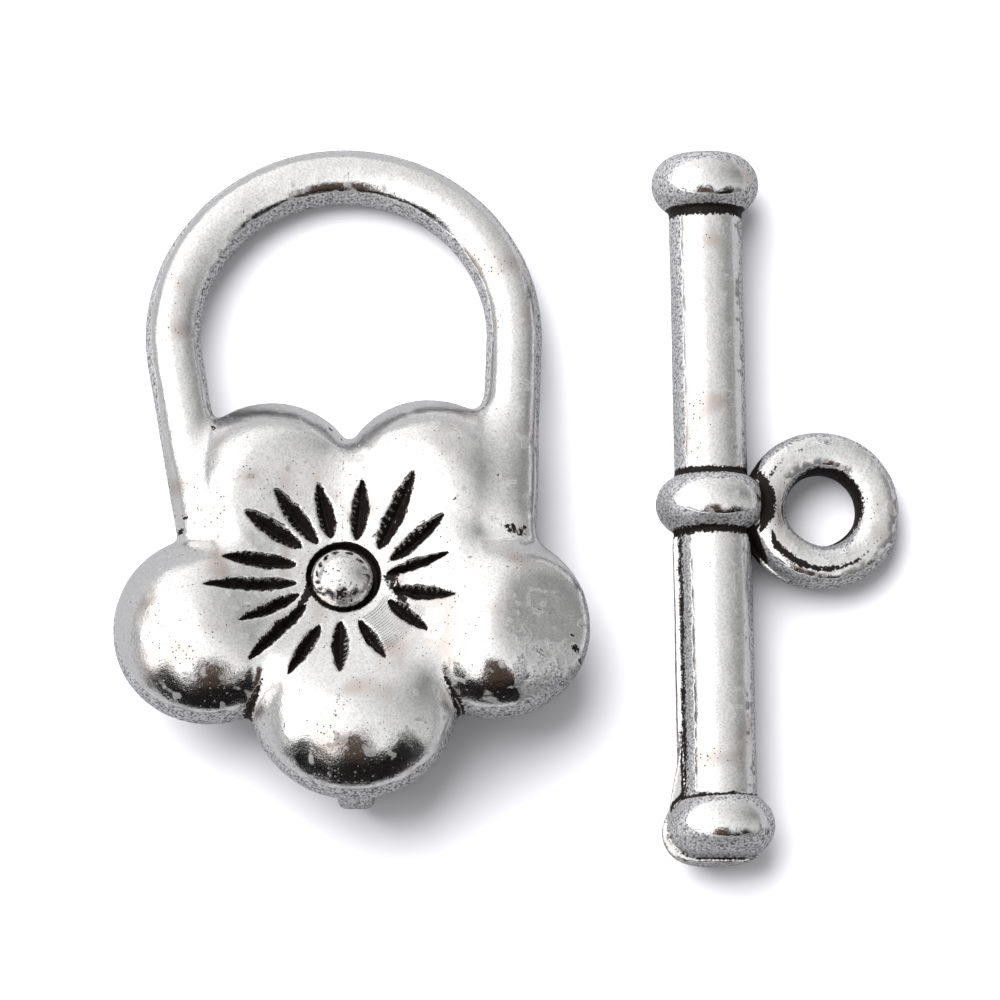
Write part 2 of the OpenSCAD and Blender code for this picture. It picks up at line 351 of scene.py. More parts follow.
def stroke_place(x, y):
    """How far inside the nearest stroke a point lies, how far across it, and how far along it as a share."""
    inside = np.full(np.shape(x), -FAR)
    across = np.zeros(np.shape(x))
    along = np.zeros(np.shape(x))
    half = np.ones(np.shape(x))
    flat = np.stack([np.ravel(x), np.ravel(y), np.zeros(np.size(x))], 1)
    ragged = RAGGED * noise(flat, RAGGED_SIZE, 7).reshape(np.shape(x))
    for tip_turn, tip_share, root_turn, root_share, width in STROKES:
        tip = np.array(polar(STROKE_REACH * tip_share, tip_turn)) - (0, TIP_DROP)
        foot = np.array(polar(STROKE_ROOT * root_share, root_turn))
        run = tip - foot
        length = math.hypot(*run)
        way = run / length
        right = x - CENTRE[0] - foot[0]
        up = y - CENTRE[1] - foot[1]
        v = (right * way[0] + up * way[1]) / length
        u = up * way[0] - right * way[1]
        leaf = np.sin(math.pi * np.clip(v, 0, 1) ** LEAF_LEAN) ** LEAF_FULLNESS
        deep = (STROKE_W / 2 * width + ragged) * leaf - np.abs(u)
        deeper = deep > inside
        inside = np.where(deeper, deep, inside)
        across = np.where(deeper, u, across)
        along = np.where(deeper, v, along)
        half = np.where(deeper, STROKE_W / 2 * width, half)
    return inside, across, along, half


def from_centre(x, y):
    return np.hypot(x - CENTRE[0], y - CENTRE[1])


def groove_width(x, y):
    turn = np.arctan2(y - CENTRE[1], x - CENTRE[0]) - GROOVE_SIDE
    return GROOVE_W * (GROOVE_EVEN + (1 - GROOVE_EVEN) * np.cos(turn))


def engraving(x, y):
    """Depth of the strokes, the ring groove and the hollow below the surface of the petals and the dish."""
    inside, across, along, half = stroke_place(x, y)
    ridges = 1 - COMB_DEPTH * smooth_step(0.02, 0.12, across) * np.cos(along * COMB_TURN) ** 2
    stroke = STROKE_DEPTH * np.clip(inside / half, 0, 1) ** 0.85 * ridges
    out = from_centre(x, y)
    width = groove_width(x, y)
    ring = smooth_step(BALL_R + width, BALL_R + 0.5 * width, out) * GROOVE_DEPTH
    share = ((x - HOLLOW[0]) ** 2 + (y - HOLLOW[1]) ** 2) / HOLLOW_R ** 2
    return np.maximum(stroke, ring) + HOLLOW_DEPTH * np.maximum(1 - share, 0)


def engraving_table():
    steps = np.arange(-TABLE_REACH, TABLE_REACH + TABLE_STEP, TABLE_STEP)
    return engraving(*np.meshgrid(steps, steps, indexing="ij"))


def looked_up(x, y):
    """The engraving's depth, read between the places of its table."""
    u = (x + TABLE_REACH) / TABLE_STEP
    v = (y + TABLE_REACH) / TABLE_STEP
    i, j = u.astype(int), v.astype(int)
    u, v = u - i, v - j
    near = ENGRAVING[i, j] * (1 - v) + ENGRAVING[i, j + 1] * v
    far = ENGRAVING[i + 1, j] * (1 - v) + ENGRAVING[i + 1, j + 1] * v
    return near * (1 - u) + far * u


def flower_field(x, y, z):
    x, y, z = np.broadcast_arrays(x, y, z)
    body = petals(x, y, z)
    cut = (z > ENGRAVED_ABOVE) & (np.hypot(x, y) < TABLE_REACH - 0.1)
    depth = np.zeros(body.shape)
    depth[cut] = looked_up(x[cut], y[cut])
    body = body + depth
    body = smooth_max(body, -z, BACK_BLEND)
    right = smooth_step(RIGHT_LOOP_FROM, RIGHT_LOOP_AT, x)
    blend = LOOP_BLEND + (RIGHT_LOOP_BLEND - LOOP_BLEND) * right
    body = smooth_min(body, loop(x, y, z), blend)
    ball = np.sqrt((x - CENTRE[0]) ** 2 + (y - CENTRE[1]) ** 2 + (z - BALL_Z) ** 2) - BALL_R
    body = smooth_min(body, ball, BALL_BLEND)
    out = np.hypot(y - SHANK_Y, z - SHANK_Z)
    ring = smooth_max(out - SHANK_R, np.abs(x) - SHANK_T / 2, SHANK_EDGE)
    body = smooth_min(body, ring, SHANK_BLEND)
    drilled = smooth_max(body, SHANK_HOLE_R - out, SHANK_HOLE_EDGE)
    return np.where(z < SHANK_TOP, drilled, body)


ENGRAVING = engraving_table()


# Toggle bar

EYE_X = COLLAR_R + EYE_HOLE_R + EYE_RING_W - EYE_SUNK
EYE_MID_R = EYE_HOLE_R + EYE_RING_W / 2


def bead(out, y, radius, width):
    """A disc with a half-round edge."""
    return np.hypot(np.maximum(out - radius + width / 2, 0), y) - width / 2


def bar_form(x, y, z):
    out = np.hypot(x, z)
    form = np.maximum(out - ROD_R, np.abs(y) - BAR_LEN / 2 + KNOB_W / 2)
    for side in (-1, 1):
        knob = bead(out, y - side * (BAR_LEN - KNOB_W) / 2, KNOB_R, KNOB_W)
        form = smooth_min(form, knob, JOINT_BLEND)
    collar = bead(out, y, COLLAR_R, COLLAR_W)
    form = smooth_min(form, collar, JOINT_BLEND)
    from_eye = np.hypot(x - EYE_X, y + EYE_DROP)
    ring = oval(from_eye - EYE_MID_R, z, EYE_RING_W / 2, EYE_T / 2, EYE_POWER)
    hole = np.where(np.abs(z) < EYE_T, EYE_HOLE_R - from_eye, -1.0)
    form = smooth_max(form, hole, EYE_HOLE_EDGE)
    return smooth_min(form, ring, JOINT_BLEND)


def bar_field(x, y, z):
    x, y, z = np.broadcast_arrays(x, y, z)
    lower = smooth_step(0.04, -0.04, z)
    side = MOULD_SIDE * smooth_step(-0.5, -1.2, y) * (UPPER_SHARE - lower)
    end = MOULD_END * smooth_step(-6.0, -BAR_LEN / 2, y) * lower
    form = bar_form(x - side, y + end, z)
    edge = -ROD_R - FLASH_W * smooth_step(-6.4, -9.0, y)
    web = np.maximum(np.abs(z) - FLASH_T, edge - x)
    web = np.maximum(web, np.maximum(x, np.abs(y - FLASH_MIDDLE) - FLASH_HALF))
    return smooth_min(form, web, FLASH_BLEND)


# Skin


def gradient(field, points):
    slope = np.empty_like(points)
    for axis in range(3):
        step = np.zeros(3)
        step[axis] = DIFFERENCE
        slope[:, axis] = field(*(points + step).T) - field(*(points - step).T)
    return slope / (2 * DIFFERENCE)


def lines(start, end, coarse, fine_start=None, fine_end=None, fine=None):
    """Grid lines from start to end, closer together in the fine stretch."""
    if fine is None:
        return np.linspace(start, end, int(round((end - start) / coarse)) + 1)
    parts = [
        np.linspace(start, fine_start, int(round((fine_start - start) / coarse)) + 1),
        np.linspace(fine_start, fine_end, int(round((fine_end - fine_start) / fine)) + 1)[1:],
        np.linspace(fine_end, end, int(round((end - fine_end) / coarse)) + 1)[1:],
    ]
    return np.concatenate(parts)


def sample(field, axes):
    """The field on the whole grid, exact near the surface and rough elsewhere."""
    coarse = [axis[::COARSE_EVERY] for axis in axes]
    rough = field(*np.meshgrid(*coarse, indexing="ij"))
    nearest = [
        np.minimum((np.arange(len(axis)) + COARSE_EVERY // 2) // COARSE_EVERY, len(few) - 1)
        for axis, few in zip(axes, coarse)
    ]
    values = rough[np.ix_(*nearest)]
    near = np.abs(values) < NEAR_SURFACE
    i, j, k = np.nonzero(near)
    values[near] = field(axes[0][i], axes[1][j], axes[2][k])
    return values


def surface_net(values, axes):
    """A point for each grid cell that the surface crosses, and a quad for each grid edge that it crosses."""
    inside = values < 0
    shape = tuple(n - 1 for n in values.shape)
    count = np.zeros(shape, np.int8)
    for corner in product((0, 1), repeat=3):
        part = tuple(slice(c, c + n) for c, n in zip(corner, shape))
        count += inside[part]
    cells = np.argwhere((count > 0) & (count < 8))
    number = np.full(shape, -1)
    number[tuple(cells.T)] = np.arange(len(cells))
    total = np.zeros((len(cells), 3))
    hits = np.zeros((len(cells), 1))
    unit = np.eye(3, dtype=int)
    for axis in range(3):
        u, v = (axis + 1) % 3, (axis + 2) % 3
        for a, b in product((0, 1), repeat=2):
            low = cells + a * unit[u] + b * unit[v]
            high = low + unit[axis]
            f_low = values[tuple(low.T)]
            f_high = values[tuple(high.T)]
            crossed = ((f_low < 0) != (f_high < 0))[:, None]
            share = (f_low / np.where(f_low == f_high, 1, f_low - f_high))[:, None]
            p_low = np.stack([axes[i][low[:, i]] for i in range(3)], 1)
            p_high = np.stack([axes[i][high[:, i]] for i in range(3)], 1)
            total += np.where(crossed, p_low + share * (p_high - p_low), 0)
            hits += crossed
    quads = []
    for axis in range(3):
        u, v = (axis + 1) % 3, (axis + 2) % 3
        low = np.take(inside, range(shape[axis]), axis)
        high = np.take(inside, range(1, shape[axis] + 1), axis)
        edges = np.argwhere(low != high)
        leaving = low[tuple(edges.T)]
        ring = [edges - unit[u] - unit[v], edges - unit[v], edges, edges - unit[u]]
        quad = np.stack([number[tuple(cell.T)] for cell in ring], 1)
        quad[~leaving] = quad[~leaving][:, ::-1]
        quads.append(quad)
    return total / hits, np.concatenate(quads)


def skin(field, axes):
    points, quads = surface_net(sample(field, axes), axes)
    for _ in range(NEWTON_STEPS):
        slope = gradient(field, points)
        move = (field(*points.T) / np.maximum((slope ** 2).sum(1), 0.2))[:, None] * slope
        size = np.linalg.norm(move, axis=1, keepdims=True)
        points -= move * np.minimum(1, NEWTON_REACH / np.maximum(size, 1e-9))
    slope = gradient(field, points)
    return points, quads, slope / np.maximum(np.linalg.norm(slope, axis=1, keepdims=True), 1e-6)


def shelter(field, points, normals):
    """How deep in a corner or recess each point lies, from 0 to about 1."""
    hidden = np.zeros(len(points))
    for reach, weight in ((0.1, 0.3), (0.25, 0.35), (0.55, 0.35)):
        clear = field(*(points + normals * reach).T) / reach
        hidden += weight * np.clip(1 - clear, 0, 1.5)
    return hidden


def casting(name, points, quads, place, fields, material):
    """A mesh object at the row frame's origin, with its points placed from the casting's own frame."""
    turn = np.array(place.to_3x3())
    world = points @ turn.T + np.array(place.translation)
    mesh = bpy.data.meshes.new(name)
    mesh.from_pydata((world * MM).tolist(), [], quads.tolist())
    mesh.update()
    mesh.shade_smooth()
    for key, values in fields.items():
        layer = mesh.attributes.new(key, "FLOAT", "POINT")
        layer.data.foreach_set("value", values.astype(np.float32))
    mesh.materials.append(material)
    piece = bpy.data.objects.new(name, mesh)
    bpy.context.scene.collection.objects.link(piece)
    return piece


# Materials

# Colours of the bright metal, its dull patches and its warm stains, of the skin and of the patina, which also
# paints shade and a dark reflection
POLISHED = (0.88, 0.875, 0.87, 1)
DULL = (0.74, 0.73, 0.725, 1)
WARM = (0.66, 0.6, 0.565, 1)
SKIN_LIGHT = (0.8, 0.8, 0.815, 1)
SKIN_DARK = (0.4, 0.4, 0.41, 1)
BLACK_PATINA_AND_SHADE = (0.003, 0.0025, 0.0025, 1)
BROWN_PATINA_AND_SHADE = (0.016, 0.0125, 0.011, 1)

# Textures: their cells or lumps per millimetre
GRAIN_SCALE = 14.0
FINE_SCALE = 40.0
PIT_SCALE = 4.0
DOT_SCALE = 11.0

# Relief in millimetres, on polished metal and on skin
MOTTLE_RELIEF = (0.003, 0.012)
GRAIN_RELIEF = (0.0042, 0.02)
FINE_RELIEF = (0.0014, 0.005)
# Scored arcs and the comb's bright teeth: radians for each millimetre and for each stroke
ARC_PACE = 84.0
ARC_RELIEF = 0.006
TOOTH_PACE = 66.0
# The painted highlight along a stroke's bottom lies a little to one side of its middle
BOTTOM_SIDE = 0.035


class Nodes:
    """Short calls for building a node tree."""

    def __init__(self, tree):
        self.tree = tree
        tree.nodes.clear()

    def add(self, kind, inputs=None, **settings):
        node = self.tree.nodes.new(kind)
        for key, value in settings.items():
            setattr(node, key, value)
        for key, value in (inputs or {}).items():
            self.put(node.inputs[key], value)
        return node

    def put(self, socket, value):
        if isinstance(value, bpy.types.NodeSocket):
            self.tree.links.new(value, socket)
        else:
            socket.default_value = value

    def math(self, operation, *values, clamp=False):
        inputs = dict(enumerate(values))
        return self.add("ShaderNodeMath", inputs, operation=operation, use_clamp=clamp).outputs[0]

    def ramp(self, value, low, high, to_low=0.0, to_high=1.0):
        inputs = {"Value": value, "From Min": low, "From Max": high, "To Min": to_low, "To Max": to_high}
        return self.add("ShaderNodeMapRange", inputs, interpolation_type="SMOOTHSTEP").outputs[0]

    def mix(self, factor, a, b):
        node = self.add("ShaderNodeMix", data_type="RGBA")
        self.put(node.inputs[0], factor)
        self.put(node.inputs[6], a)
        self.put(node.inputs[7], b)
        return node.outputs[2]

    def blend(self, factor, a, b):
        node = self.add("ShaderNodeMix", data_type="FLOAT")
        self.put(node.inputs[0], factor)
        self.put(node.inputs[2], a)
        self.put(node.inputs[3], b)
        return node.outputs[0]

    def product(self, first, *others):
        for other in others:
            first = self.math("MULTIPLY", first, other)
        return first

    def around(self, value, amount):
        """A value from 0 to 1, moved to lie round 0 and scaled."""
        return self.math("MULTIPLY", self.math("SUBTRACT", value, 0.5), amount)

    def cells(self, place, scale):
        """The distance to the nearest of many scattered points, and that point's random number."""
        points = self.add("ShaderNodeTexVoronoi", {"Vector": place, "Scale": scale})
        chance = self.add("ShaderNodeSeparateColor", {0: points.outputs["Color"]}).outputs[0]
        return points.outputs["Distance"], chance

    def spot(self, distance, size):
        """1 in the middle of a spot of this size, 0 outside it."""
        share = self.math("DIVIDE", distance, self.math("ADD", size, 0.001))
        return self.math("MAXIMUM", self.math("SUBTRACT", 1.0, share), 0.0, clamp=True)

    def attribute(self, name):
        return self.add("ShaderNodeAttribute", attribute_name=name).outputs["Fac"]

    def noise(self, place, scale, detail=2.0, rough=0.5):
        inputs = {"Vector": place, "Scale": scale, "Detail": detail, "Roughness": rough}
        return self.add("ShaderNodeTexNoise", inputs).outputs["Fac"]


def specks(n, place, unpolished, lumps):
    """Black pits, rare on the polished crests and common on the skin, and swarms of finer ones."""
    distance, chance = n.cells(place, PIT_SCALE)
    polished_size = n.ramp(chance, 0.65, 1.0, 0.0, 0.16)
    skin_size = n.ramp(chance, 0.3, 1.0, 0.0, 0.3)
    pits = n.spot(distance, n.blend(unpolished, polished_size, skin_size))
    distance, chance = n.cells(place, DOT_SCALE)
    chance = n.math("ADD", chance, n.around(lumps, 0.8))
    dots = n.spot(distance, n.ramp(chance, 0.74, 1.15, 0.0, 0.4))
    return n.math("MAXIMUM", pits, n.math("MULTIPLY", dots, 1.6), clamp=True)


def cut_patina_and_highlight(n, grain, mottle):
    """Black in the cuts, ragged at their edges, and taken off along the strokes' bottoms as a painted
    highlight and on the combs' teeth as wear.
    """
    ragged = n.math("ADD", n.around(grain, 0.22), n.around(mottle, 0.05))
    in_cut = n.ramp(n.math("ADD", n.attribute("cut"), ragged), -0.01, 0.03)
    across = n.attribute("across")
    off_bottom = n.math("ABSOLUTE", n.math("ADD", across, BOTTOM_SIDE))
    # Painted highlight: the black is taken off along a thin line at the stroke's bottom
    bottom = n.product(n.ramp(off_bottom, 0.024, 0.006), n.ramp(mottle, 0.42, 0.55))
    wave = n.math("SINE", n.math("MULTIPLY", n.attribute("along"), TOOTH_PACE))
    on_wall = n.product(n.ramp(across, 0.05, 0.09), n.ramp(across, 0.4, 0.3))
    teeth = n.product(n.ramp(wave, 0.2, 0.8), on_wall, n.ramp(grain, 0.45, 0.6))
    highlight_and_wear = n.math("MULTIPLY", n.math("MAXIMUM", bottom, teeth), 0.85)
    return n.math("MULTIPLY", in_cut, n.math("SUBTRACT", 1.0, highlight_and_wear))


def wall_patina_and_shade(n, grain, mottle, edge, skin_share):
    """Black in the sheltered corners, with the painted dark reflection low on the ball, in the skin's flecks,
    and painted shade along the polish's edge on the shadow side.
    """
    sheltered = n.math("ADD", n.attribute("recess"), n.around(grain, 0.5))
    flecks = n.product(n.ramp(grain, 0.52, 0.64), skin_share, 0.8)
    off_edge = n.math("ABSOLUTE", n.math("SUBTRACT", edge, 0.45))
    # Painted shade: black along the polish's edge, on the shadow side only
    rim = n.product(n.ramp(off_edge, 0.28, 0.1), n.attribute("rim"), n.ramp(mottle, 0.4, 0.6, 0.25, 0.75))
    return n.math("MAXIMUM", n.ramp(sheltered, 0.3, 0.48), n.math("MAXIMUM", flecks, rim))


def silver_colour(n, grain, lumps, skin_share, black):
    polished = n.mix(n.ramp(grain, 0.42, 0.64), POLISHED, DULL)
    polished = n.mix(n.ramp(lumps, 0.6, 1.0), polished, WARM)
    cast = n.mix(n.ramp(grain, 0.35, 0.62), SKIN_LIGHT, SKIN_DARK)
    # The black is patina, and also painted shade along the polish's edge and a painted dark reflection low on
    # the ball
    return n.mix(black, n.mix(skin_share, polished, cast), n.mix(grain, BLACK_PATINA_AND_SHADE, BROWN_PATINA_AND_SHADE))


def silver_relief(n, grain, fine, mottle, unpolished, skin_share):
    """The small unevenness of the surface, in millimetres."""
    height = n.math("MULTIPLY", n.math("SUBTRACT", mottle, 0.5), n.blend(unpolished, *MOTTLE_RELIEF))
    height = n.math("ADD", height, n.math("MULTIPLY", grain, n.blend(skin_share, *GRAIN_RELIEF)))
    height = n.math("ADD", height, n.math("MULTIPLY", fine, n.blend(skin_share, *FINE_RELIEF)))
    arcs = n.math("SINE", n.math("MULTIPLY", n.attribute("radius"), ARC_PACE))
    return n.math("ADD", height, n.product(arcs, n.attribute("scored"), ARC_RELIEF))


def antique_silver(name, seed):
    """Polished crests, a mottled cast skin on the walls and black patina in the recesses."""
    material = bpy.data.materials.new(name)
    material.use_nodes = True
    n = Nodes(material.node_tree)
    coordinates = n.add("ShaderNodeTexCoord").outputs["Object"]
    scaled = n.add("ShaderNodeVectorMath", {0: coordinates, "Scale": 1 / MM}, operation="SCALE").outputs[0]
    shift = (seed, seed, seed)
    place = n.add("ShaderNodeVectorMath", {0: scaled, 1: shift}, operation="ADD").outputs[0]
    unpolished = n.attribute("unpolished")
    lumps = n.attribute("lumps")
    mottle = n.attribute("mottle")
    grain = n.noise(place, GRAIN_SCALE, 2.0, 0.6)
    fine = n.noise(place, FINE_SCALE, 0.0)

    # The skin breaks up where the polish fades out
    edge = n.math("ADD", unpolished, n.around(mottle, 0.9))
    skin_share = n.ramp(edge, 0.3, 0.75)

    # The black mixes patina with painted shade along the polish's edge, a painted dark reflection low on the
    # ball and, where it is taken off along the strokes' bottoms, a painted highlight
    blackening = n.math("MAXIMUM", cut_patina_and_highlight(n, grain, mottle), wall_patina_and_shade(n, grain, mottle, edge, skin_share))
    black = n.math("MAXIMUM", blackening, specks(n, place, unpolished, lumps))
    roughness = n.blend(skin_share, n.blend(lumps, 0.11, 0.19), n.blend(grain, 0.36, 0.52))
    relief = silver_relief(n, grain, fine, mottle, unpolished, skin_share)
    bump = n.add("ShaderNodeBump", {"Height": relief, "Distance": MM, "Strength": 1.0})
    shader = n.add("ShaderNodeBsdfPrincipled", {
        "Base Color": silver_colour(n, grain, lumps, skin_share, black),
        "Metallic": n.blend(black, n.blend(skin_share, 1.0, 0.88), 0.35),
        "Roughness": n.blend(black, roughness, 0.5),
        "Specular IOR Level": n.blend(black, 0.5, 0.1),
        "Normal": bump.outputs[0],
    })
    n.add("ShaderNodeOutputMaterial", {0: shader.outputs[0]})
    return material


# The pieces


def mount(name):
    return next(m for m in frame["record"]["mounts"] if m["name"] == name)


def flower_place():
    axis = mount("loop_opening")["axis"]
    turn = Matrix.Rotation(-math.atan2(axis[1], axis[2]), 4, "X")
    shank = Vector(mount("shank_hole")["pos_m"]) / MM
    return Matrix.Translation(shank - turn @ Vector((0, SHANK_Y, SHANK_Z))) @ turn


def bar_place():
    axis = mount("bar_eye")["axis"]
    turn = Matrix.Rotation(math.atan2(axis[0], axis[2]), 4, "Y")
    eye = Vector(mount("bar_eye")["pos_m"]) / MM
    return Matrix.Translation(eye - turn @ Vector((EYE_X, -EYE_DROP, 0))) @ turn


def mottled(points, seed):
    """Uneven spots of casting and polishing, from 0 to 1, as mesh attributes."""
    lumps = noise(points, LUMP_SIZE, seed) + 0.5 * noise(points, LUMP_SIZE / 2, seed + 1)
    mottle = noise(points, MOTTLE_SIZE, seed + 2) + 0.6 * noise(points, MOTTLE_SIZE / 2, seed + 3)
    return {"lumps": 0.5 + 0.45 * lumps, "mottle": 0.5 + 0.42 * mottle}


def shadow_side(normals):
    """From 0 on the left and the back to 1 on the right and the front."""
    return smooth_step(-0.1, 0.5, normals[:, 0] - normals[:, 1])


def uneven(points, waves, mottle, mottle_height):
    """How far the cast surface stands out at each point."""
    return sum(height * noise(points, size, seed) for size, height, seed in waves) + mottle_height * mottle


def flower_axes():
    coarse = COARSE_STEP
    fine = FINE_STEP
    steps = (fine, fine, LAYER_STEP)
    return [lines(*box, coarse, *part, step) for box, part, step in zip(FLOWER_BOX, ENGRAVED_BOX, steps)]


def flower_cuts(x, y, z, normals):
    """How far inside a stroke, the groove, a crease or a pit each point lies, and its place in its stroke."""
    inside, across, along, _ = stroke_place(x, y)
    out = from_centre(x, y)
    groove = BALL_R + 0.85 * groove_width(x, y) - 0.03 - out
    ring = np.where(out > BALL_R, groove, out - BALL_R + 0.02)
    ring = np.where(z < BALL_Z + 0.3, ring, OUTSIDE)
    engraved = (z > ENGRAVED_ABOVE) & (normals[:, 2] > -0.2)
    cut = np.where(engraved, np.maximum(inside, ring), OUTSIDE)
    cut = np.maximum(cut, creases(x, y, z))
    for pit_x, pit_y, size in PITS:
        pit = size - np.hypot(x - pit_x, y - pit_y)
        cut = np.maximum(cut, np.where(z > PITS_ABOVE, pit, OUTSIDE))
    # The groove has no comb
    across = np.where(out < BALL_R + GROOVE_W, FAR, across)
    return cut, across, along


def flower_unpolished(x, y, z, normals):
    """1 on the cast skin of the walls and less on the back and on a satin patch low on the right petal."""
    limit = PETAL_POLISH + (LOOP_POLISH - PETAL_POLISH) * smooth_step(3.5, 6.0, y)
    wall = smooth_step(limit, limit - FLOWER_FADE, normals[:, 2])
    satin = smooth_step(4.15, 4.35, x + 0.15 * (y + 2)) * smooth_step(-1.7, -2.3, y)
    return np.maximum(np.maximum(wall, BACK_SKIN * (z < 0.02)), SATIN * satin)


def ball_reflection_and_hollow_stain(x, y, z):
    """Outside the corners: a painted dark reflection low on the ball, and a stain along the hollow's upper
    left edge.
    """
    on_ball = (from_centre(x, y) < BALL_R) & (z > BALL_Z)
    low = BALL_REFLECTION_R - from_centre(x, y + BALL_REFLECTION_DROP)
    low = smooth_step(-0.15, 0.3, np.where(on_ball, low, OUTSIDE))
    edge = np.abs(np.hypot(x - HOLLOW[0], y - HOLLOW[1]) - HOLLOW_R + 0.03)
    edge = smooth_step(0.1, 0.02, edge) * smooth_step(1.9, 2.6, y) * smooth_step(-0.3, -0.8, x) * (z > 1)
    return np.maximum(BALL_REFLECTION * low, HOLLOW_STAIN * edge)


def scored_arcs(x, y, normals):
    """Where a tool scored fine arcs round the ball, to its lower right."""
    out = from_centre(x, y)
    azimuth = np.degrees(np.arctan2(y - CENTRE[1], x - CENTRE[0]))
    turn = smooth_step(-75, -60, azimuth) * smooth_step(-15, -28, azimuth)
    reach = smooth_step(1.15, 1.3, out) * smooth_step(2.7, 2.4, out)
    return np.where(normals[:, 2] > 0.3, turn * reach, 0)


def make_flower(material):
    points, quads, normals = skin(flower_field, flower_axes())
    x, y, z = points.T
    cut, across, along = flower_cuts(x, y, z, normals)
    fields = {
        "unpolished": flower_unpolished(x, y, z, normals),
        # The recesses' patina, with the painted dark reflection low on the ball
        "recess": np.maximum(shelter(flower_field, points, normals), ball_reflection_and_hollow_stain(x, y, z)),
        "cut": cut,
        "across": across,
        "along": along,
        # Painted shade along the polish's edge, strongest on the right and the front
        "rim": 0.8 * shadow_side(normals),
        "scored": scored_arcs(x, y, normals),
        "radius": from_centre(x, y),
        **mottled(points, FLOWER_SEED),
    }
    points += normals * uneven(points, FLOWER_WAVES, fields["mottle"], FLOWER_MOTTLE)[:, None]
    return casting("flower_loop_cast", points, quads, flower_place(), fields, material)


def eye_dirt(x, y, z):
    """How far inside the black of the eye's hole, its rim or its joint each point lies."""
    from_eye = np.hypot(x - EYE_X, y + EYE_DROP)
    around = np.arctan2(y + EYE_DROP, x - EYE_X)
    hole = EYE_HOLE_R + DIRTY_HOLE_W + DIRTY_HOLE_SWING * np.cos(around - DIRTY_HOLE_TURN) - from_eye
    rim_turn = around % (2 * math.pi) - DIRTY_RIM_TURN
    rim = DIRTY_RIM_W * np.cos(0.8 * rim_turn) - np.abs(from_eye - DIRTY_RIM_R)
    blackening = np.where(x > COLLAR_R, np.maximum(hole, rim), OUTSIDE)
    out = np.hypot(x, z)
    joint = np.maximum(DIRTY_JOINT_W - bead(out, y, COLLAR_R, COLLAR_W), DIRTY_JOINT_R - out)
    at_joint = (x > 1.2) & (z > -0.4) & (from_eye < 2.3) & (out > 1.1)
    return np.maximum(blackening, np.where(at_joint, joint, OUTSIDE))


def rod_dirt(x, y, z):
    """How far inside the black bands of the rod or the line along the mould step each point lies."""
    blackening = np.full(len(x), OUTSIDE)
    on_rod = np.hypot(x, z) < ROD_R + GRIME_OUT
    for place, half in GRIME:
        blackening = np.maximum(blackening, np.where(on_rod, half - np.abs(y - place), OUTSIDE))
    step_x = UPPER_SHARE * MOULD_SIDE - ROD_R
    seam = SEAM_R - np.hypot(x - step_x - 0.02, 0.3 * (z - 0.12))
    on_step = (y < -COLLAR_W / 2) & (y > KNOB_W - BAR_LEN / 2) & (z > -0.1)
    return np.maximum(blackening, np.where(on_step, seam, OUTSIDE))


def make_bar(material):
    step = BAR_STEP
    points, quads, normals = skin(bar_field, [lines(*box, step) for box in BAR_BOX])
    x, y, z = points.T
    upright = normals[:, 2] - BAR_END_LOSS * np.abs(normals[:, 1])
    wall = smooth_step(BAR_POLISH, BAR_POLISH - BAR_FADE, upright)
    fields = {
        "unpolished": np.maximum(wall, EYE_SATIN * smooth_step(1.7, 2.1, x)),
        "recess": 1.3 * shelter(bar_field, points, normals),
        "cut": np.maximum(eye_dirt(x, y, z), rod_dirt(x, y, z)),
        "across": np.full(len(points), FAR),
        "along": np.zeros(len(points)),
        # Painted shade along the polish's edge, strongest on the right and the front
        "rim": shadow_side(normals),
        "scored": np.zeros(len(points)),
        "radius": np.zeros(len(points)),
        **mottled(points, BAR_SEED),
    }
    points += normals * uneven(points, BAR_WAVES, fields["mottle"], BAR_MOTTLE)[:, None]
    return casting("toggle_bar_cast", points, quads, bar_place(), fields, material)


# The studio

CAMERA_TILT = math.radians(10)
CAMERA_ROLL = math.radians(1.15)
CAMERA_DISTANCE = 0.5
PHOTO_PIXELS = 1000
PIXELS_PER_MM = 36.4
# Where the photo's centre looks at on the plane through the castings, in millimetres
LOOK_AT = (-0.185, 0.0, 1.5)

# The tent's brightness rises evenly with the angle from its darkest side
DARK_SIDE = (0.908, 0.33, 0.259)
DARK_LEVEL = 0.25
LEVEL_PER_RADIAN = 0.61
SOFT_BOX_LEVEL = 0.22
HEM_LEVEL = 0.55
HORIZON_LEVEL = 0.15
HORIZON_SHARE = 0.6
ROOM_COLOUR = (0.008, 0.007, 0.007, 1)
COLUMN_COLOUR = (0.075, 0.05, 0.04, 1)

# The table as it is seen, and the darker one that the metal mirrors
FLOOR_COLOUR = (0.585, 0.585, 0.61, 1)
MIRRORED_FLOOR = (0.2, 0.2, 0.205, 1)
FLOOR_HALF = 1.5

# The lamp that draws the shadows
KEY_WAY = (-0.36, 0.44, 0.82)
KEY_DISTANCE = 0.6
KEY_SIZE = 0.7
KEY_POWER = 12


def make_camera():
    data = bpy.data.cameras.new("camera")
    data.sensor_width = 36
    data.lens = data.sensor_width * CAMERA_DISTANCE / (PHOTO_PIXELS / PIXELS_PER_MM * MM)
    data.clip_start = 0.01
    data.clip_end = 20
    camera = bpy.data.objects.new("camera", data)
    turn = Matrix.Rotation(CAMERA_TILT, 4, "X") @ Matrix.Rotation(-CAMERA_ROLL, 4, "Z")
    back = turn @ Vector((0, 0, CAMERA_DISTANCE))
    camera.matrix_world = Matrix.Translation(Vector(LOOK_AT) * MM + back) @ turn
    bpy.context.scene.collection.objects.link(camera)
    bpy.context.scene.camera = camera


